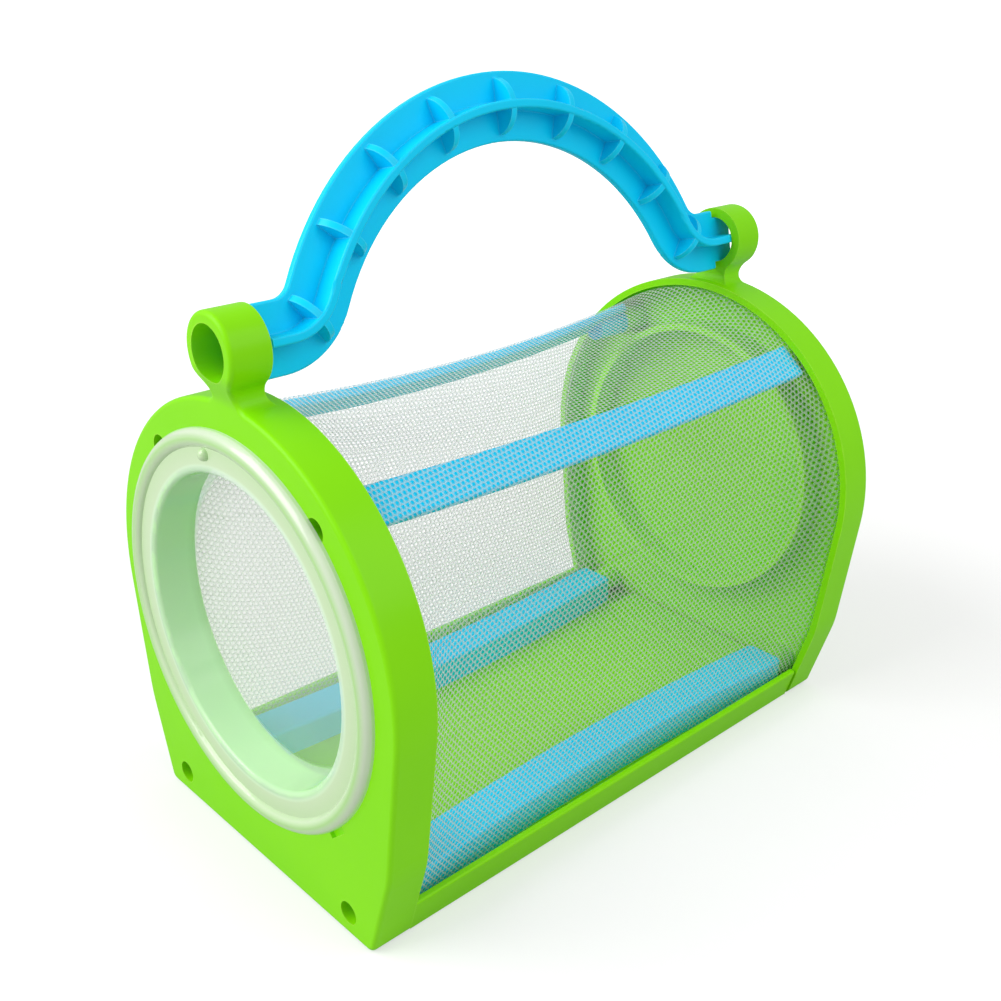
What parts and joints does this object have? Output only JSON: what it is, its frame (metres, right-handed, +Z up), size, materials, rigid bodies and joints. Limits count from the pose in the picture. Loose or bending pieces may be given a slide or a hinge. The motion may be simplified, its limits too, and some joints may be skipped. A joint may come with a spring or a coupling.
{
  "type": "insect cage",
  "caption": "Carry cage for insects: green arched end plates, blue struts, white net cover, push-in round lid and a ribbed blue swing handle.",
  "frame": {"origin": "centre of the flat foot that the cage stands on, midway between the end plates", "axes": "+X across the cage, +Y along the cage's axis from the lid end to the closed end, +Z up"},
  "size_m": [0.114, 0.181, 0.1859],
  "materials": {
    "green_plastic": "moulded, soft gloss",
    "blue_plastic": "moulded, soft gloss",
    "white_net": "knitted polyester net",
    "milky_plastic": "translucent, glossy, with a clear window",
    "screw_steel": "plated steel"
  },
  "bodies": {
    "cage": {"front_end_plate": "green_plastic", "back_end_plate": "green_plastic", "base_tray": "green_plastic", "upper_right_strut": "blue_plastic", "upper_left_strut": "blue_plastic", "lower_right_strut": "blue_plastic", "lower_left_strut": "blue_plastic", "mesh_net": "white_net", "front_screws": "screw_steel", "back_screws": "screw_steel"},
    "lid": {"lid": "milky_plastic"},
    "handle": {"handle": "blue_plastic"}
  },
  "joints": [
    {"name": "handle_swing", "type": "hinge", "parent": "cage", "child": "handle", "pos_m": [0, 0, 0.135], "axis": [0, 1, 0], "range_deg": [-98, 122]},
    {"name": "lid_pull", "type": "slide", "parent": "cage", "child": "lid", "axis": [0, -1, 0], "range_m": [0, 0.03]}
  ]
}
